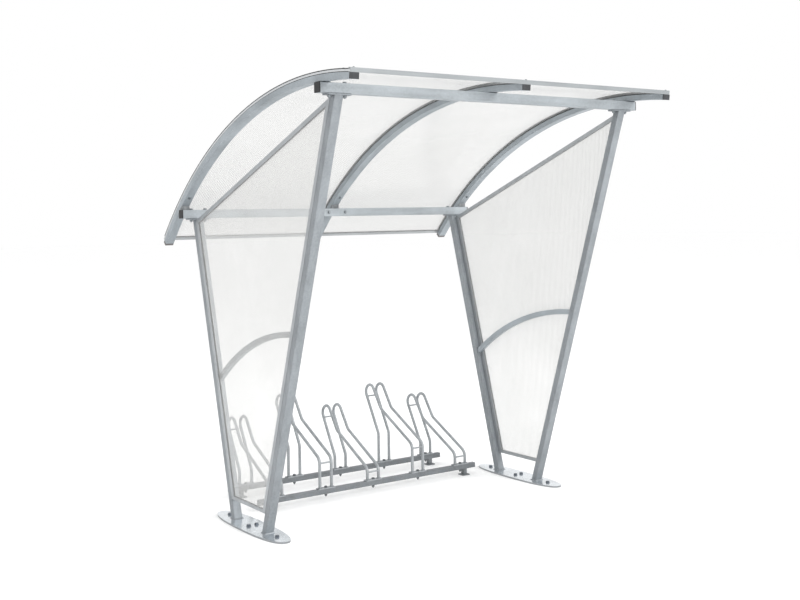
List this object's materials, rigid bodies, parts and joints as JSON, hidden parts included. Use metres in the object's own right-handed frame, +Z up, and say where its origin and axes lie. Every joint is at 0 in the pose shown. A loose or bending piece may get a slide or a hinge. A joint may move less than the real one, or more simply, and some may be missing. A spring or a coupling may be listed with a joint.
{
  "type": "bike shelter",
  "caption": "Open-fronted bike shelter with leaning steel end frames, a curved clear roof, clear side panels and a rack of wheel holders.",
  "frame": {"origin": "on the floor, at the middle of the overall box", "axes": "+X along the shelter to the right, +Y from the open front to the back, +Z up"},
  "size_m": [2.11, 2.1184, 2.3559],
  "materials": {
    "galvanised_steel": "hot-dip galvanised, satin",
    "foot_plate_steel": "hot-dip galvanised, satin",
    "rack_steel": "hot-dip galvanised, satin",
    "aluminium_profile": "mill finish extrusion",
    "clear_sheet": "clear multiwall polycarbonate",
    "black_plastic": "moulded, fine grain",
    "black_rubber": "extruded, matt"
  },
  "bodies": {
    "root": {"foot_plate_left": "foot_plate_steel", "foot_plate_right": "foot_plate_steel", "rear_post_left": "galvanised_steel", "rear_post_right": "galvanised_steel", "front_post_left": "galvanised_steel", "front_post_right": "galvanised_steel", "cap_plate_front_left": "galvanised_steel", "cap_plate_front_right": "galvanised_steel", "cap_plate_rear_left": "galvanised_steel", "cap_plate_rear_right": "galvanised_steel", "front_beam": "galvanised_steel", "rear_beam": "galvanised_steel", "beam_plugs": "black_plastic", "roof_arch_left": "galvanised_steel", "roof_arch_middle": "galvanised_steel", "roof_arch_right": "galvanised_steel", "arch_plugs": "black_plastic", "arch_pads": "black_rubber", "roof_gaskets": "black_rubber", "roof_sheet_left": "clear_sheet", "roof_sheet_right": "clear_sheet", "cover_bar_left": "black_plastic", "cover_bar_middle": "black_plastic", "cover_bar_right": "black_plastic", "front_edge_trim": "aluminium_profile", "rear_edge_trim": "aluminium_profile", "side_panel_left": "clear_sheet", "side_panel_right": "clear_sheet", "panel_top_trim_left": "aluminium_profile", "panel_top_trim_right": "aluminium_profile", "panel_bottom_trim_left": "aluminium_profile", "panel_bottom_trim_right": "aluminium_profile", "panel_channels_left": "aluminium_profile", "panel_channels_right": "aluminium_profile", "curved_rail_left": "galvanised_steel", "curved_rail_right": "galvanised_steel", "rack_front_rail": "rack_steel", "rack_rear_rail": "rack_steel", "rack_feet": "rack_steel", "wheel_holder_1": "rack_steel", "wheel_holder_2": "rack_steel", "wheel_holder_3": "rack_steel", "wheel_holder_4": "rack_steel", "wheel_holder_5": "rack_steel"}
  },
  "joints": []
}
